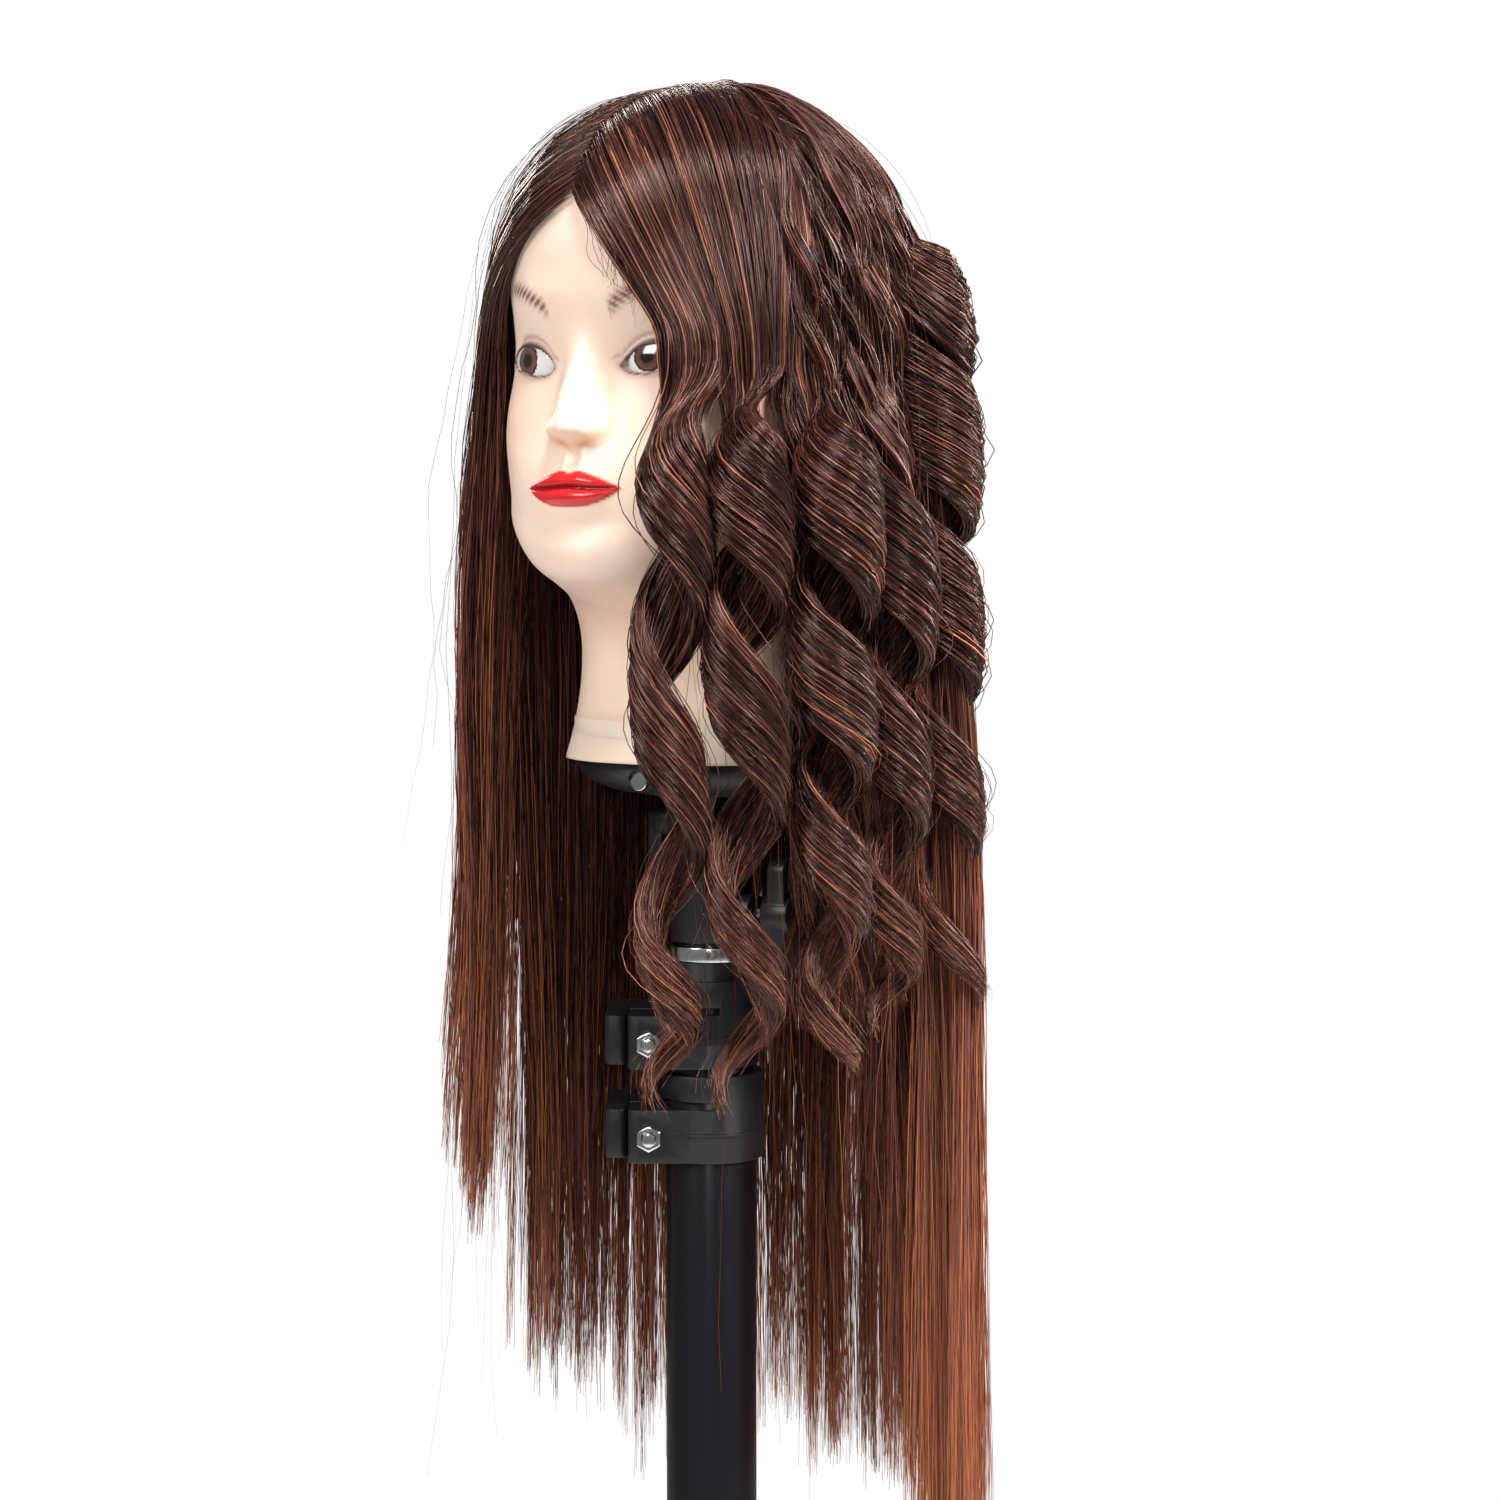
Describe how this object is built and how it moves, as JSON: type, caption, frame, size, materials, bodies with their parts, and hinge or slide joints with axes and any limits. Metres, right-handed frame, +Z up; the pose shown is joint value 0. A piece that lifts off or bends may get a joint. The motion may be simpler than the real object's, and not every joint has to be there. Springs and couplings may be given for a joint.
{
  "type": "mannequin training head",
  "caption": "Hairdressing training head with long hair, half straight and half in ringlets, on a tilting and swivelling holder, telescopic post with lever clamps and folding tripod legs",
  "frame": {"origin": "centre of the post's rubber tip on the floor, under the post axis", "axes": "+Z up the post; the face looks along -Y; +X is the mannequin's own left, the side with the ringlets"},
  "size_m": [0.688, 0.5999, 1.1829],
  "materials": {
    "skin": "soft satin vinyl",
    "foam": "rigid foam",
    "eye": "polished",
    "hair": "glossy strands",
    "black_plastic": "satin moulded",
    "black_tube": "gloss powder coat",
    "chrome": "bright plated",
    "rubber": "matte"
  },
  "bodies": {
    "stand": {"lower_tube": "black_tube", "post_tip": "rubber", "leg_hub": "black_plastic", "leg_pin_1": "chrome", "leg_pin_2": "chrome", "leg_pin_3": "chrome", "lower_collar": "black_plastic", "lower_bolt": "chrome", "lower_nut": "chrome", "lower_lever_pin": "chrome"},
    "front_leg": {"leg_1": "black_tube", "foot_1": "rubber"},
    "left_leg": {"leg_2": "black_tube", "foot_2": "rubber"},
    "right_leg": {"leg_3": "black_tube", "foot_3": "rubber"},
    "lower_clamp_lever": {"lower_lever": "black_plastic"},
    "middle_post": {"middle_tube": "black_tube", "upper_collar": "black_plastic", "upper_bolt": "chrome", "upper_nut": "chrome", "upper_lever_pin": "chrome", "trim_ring": "chrome"},
    "upper_clamp_lever": {"upper_lever": "black_plastic"},
    "upper_post": {"upper_tube": "black_tube"},
    "head_holder": {"tilt_fork": "black_plastic", "tilt_bolt": "chrome"},
    "swivel_lock": {"swivel_knob": "black_plastic", "swivel_knob_screw": "chrome"},
    "tilt_lock": {"tilt_lever": "black_plastic"},
    "head": {"plug_stem": "black_plastic", "neck_dish": "black_plastic", "plug_screw": "chrome", "neck_socket": "black_plastic", "foam_core": "foam", "vinyl_skin": "skin", "left_eye": "eye", "right_eye": "eye", "hair_crown": "hair", "hair_right_side": "hair", "hair_back_right": "hair", "hair_back_left": "hair", "ringlet_1": "hair", "ringlet_2": "hair", "ringlet_3": "hair", "ringlet_4": "hair", "ringlet_5": "hair"}
  },
  "joints": [
    {"name": "front_leg_fold", "type": "hinge", "parent": "stand", "child": "front_leg", "pos_m": [0, -0.036, 0.15], "axis": [1, 0, 0], "range_deg": [0, 67]},
    {"name": "left_leg_fold", "type": "hinge", "parent": "stand", "child": "left_leg", "pos_m": [0.03118, 0.018, 0.15], "axis": [-0.5, 0.866, 0], "range_deg": [0, 67]},
    {"name": "right_leg_fold", "type": "hinge", "parent": "stand", "child": "right_leg", "pos_m": [-0.03118, 0.018, 0.15], "axis": [-0.5, -0.866, 0], "range_deg": [0, 67]},
    {"name": "lower_clamp_open", "type": "hinge", "parent": "stand", "child": "lower_clamp_lever", "pos_m": [-0.0394, 0.01018, 0.711], "axis": [0, 0, -1], "range_deg": [0, 100]},
    {"name": "middle_post_slide", "type": "slide", "parent": "stand", "child": "middle_post", "axis": [0, 0, 1], "range_m": [0, 0.3]},
    {"name": "upper_clamp_open", "type": "hinge", "parent": "middle_post", "child": "upper_clamp_lever", "pos_m": [-0.0394, 0.01018, 0.7533], "axis": [0, 0, -1], "range_deg": [0, 100]},
    {"name": "upper_post_slide", "type": "slide", "parent": "middle_post", "child": "upper_post", "axis": [0, 0, 1], "range_m": [0, 0.28]},
    {"name": "head_swivel", "type": "hinge", "parent": "upper_post", "child": "head_holder", "pos_m": [0, 0, 0.82], "axis": [0, 0, 1], "continuous": true},
    {"name": "swivel_lock_turn", "type": "hinge", "parent": "head_holder", "child": "swivel_lock", "pos_m": [0.04, 0, 0.8109], "axis": [1, 0, 0], "continuous": true},
    {"name": "tilt_lock_turn", "type": "hinge", "parent": "head_holder", "child": "tilt_lock", "pos_m": [-0.02, 0, 0.8504], "axis": [1, 0, 0], "range_deg": [-45, 45]},
    {"name": "head_tilt", "type": "hinge", "parent": "head_holder", "child": "head", "pos_m": [0, 0, 0.8504], "axis": [1, 0, 0], "range_deg": [-40, 45], "deforming": ["hair_right_side", "hair_back_right", "hair_back_left", "ringlet_1", "ringlet_2", "ringlet_3", "ringlet_4", "ringlet_5"]}
  ]
}
